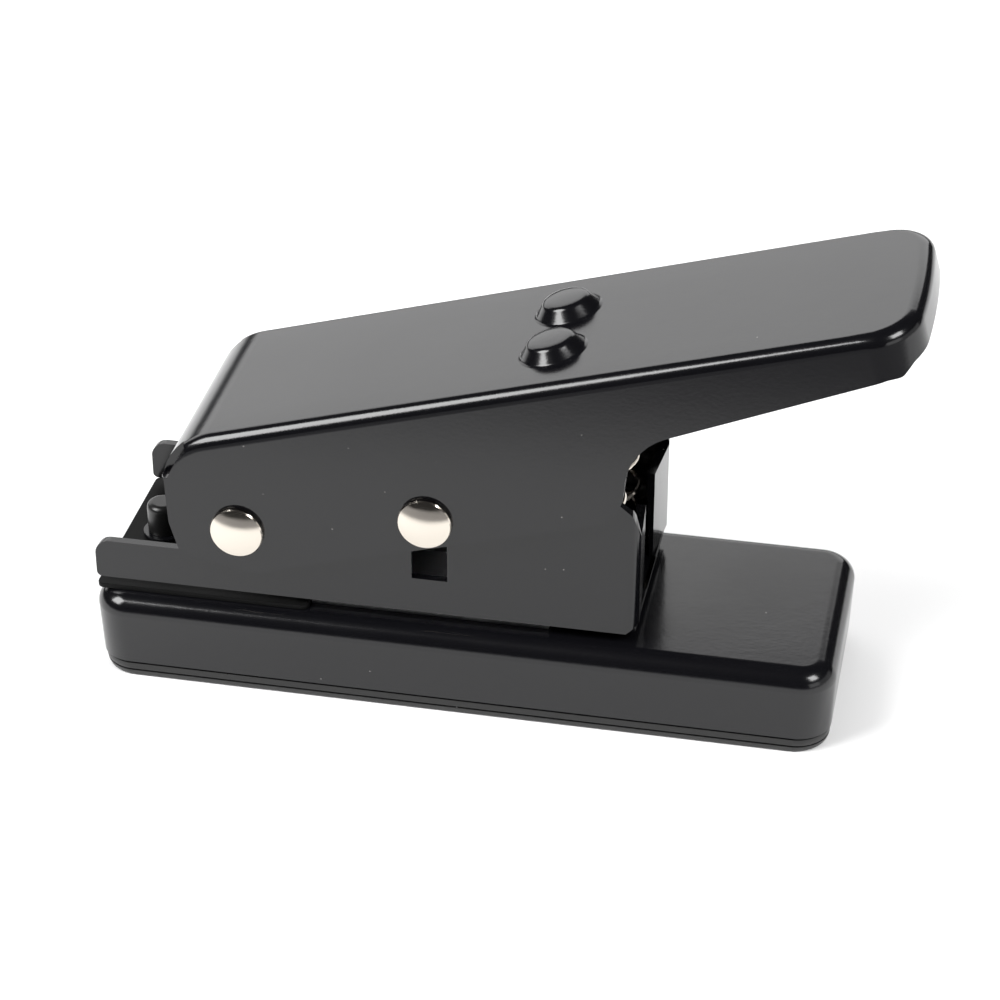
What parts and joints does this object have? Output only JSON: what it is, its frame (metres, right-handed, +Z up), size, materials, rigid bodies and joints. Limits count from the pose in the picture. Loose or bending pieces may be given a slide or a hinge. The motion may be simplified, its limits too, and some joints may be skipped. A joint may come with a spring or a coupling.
{
  "type": "card punch",
  "caption": "Desk lever punch: a pressed-steel lever, pivoted in an upright frame on a long base, pushes a guided punch down through a die and springs back up.",
  "frame": {"origin": "centre of the flat underside of the base", "axes": "+X from the card entry at the rear towards the free end of the lever, +Z up, Y across the base"},
  "size_m": [0.1112, 0.0346, 0.0653],
  "materials": {
    "black_enamel": "gloss black enamel",
    "tool_steel": "ground tool steel",
    "nickel": "polished nickel plate",
    "zinc_steel": "bright zinc plate",
    "black_plastic": "moulded black plastic"
  },
  "bodies": {
    "frame": {"base_cover": "black_enamel", "bottom_tray": "black_plastic", "guide_plate": "black_enamel", "die_block": "tool_steel", "card_rail_left": "zinc_steel", "card_rail_right": "zinc_steel", "side_frame": "black_enamel", "frame_screws": "zinc_steel", "punch_guide": "tool_steel", "guide_screws": "zinc_steel", "rear_stud": "black_plastic", "stud_washer": "black_enamel", "stud_nut": "zinc_steel", "pivot_spacer": "zinc_steel", "spring_seats": "zinc_steel", "return_spring_left": "nickel", "return_spring_right": "nickel"},
    "ram": {"punch": "tool_steel", "punch_ram": "tool_steel", "ram_screws": "zinc_steel"},
    "lever": {"lever_arm": "black_enamel", "pivot_rivet": "nickel", "drive_rivet": "nickel", "pivot_washers": "zinc_steel", "drive_washers": "zinc_steel"}
  },
  "joints": [
    {"name": "lever_hinge", "type": "hinge", "parent": "frame", "child": "lever", "pos_m": [-0.0298, 0, 0.0257], "axis": [0, 1, 0], "range_deg": [0, 15.5], "stiffness_Nm_per_rad": 1.5, "springref_deg": -17.19, "deforming": ["return_spring_left", "return_spring_right"]},
    {"name": "punch_slide", "type": "slide", "parent": "frame", "child": "ram", "axis": [0, 0, -1], "range_m": [0, 0.0072]}
  ],
  "couplings": [
    {"joint": "punch_slide", "follows": "lever_hinge", "m_per_rad": 0.0262}
  ]
}
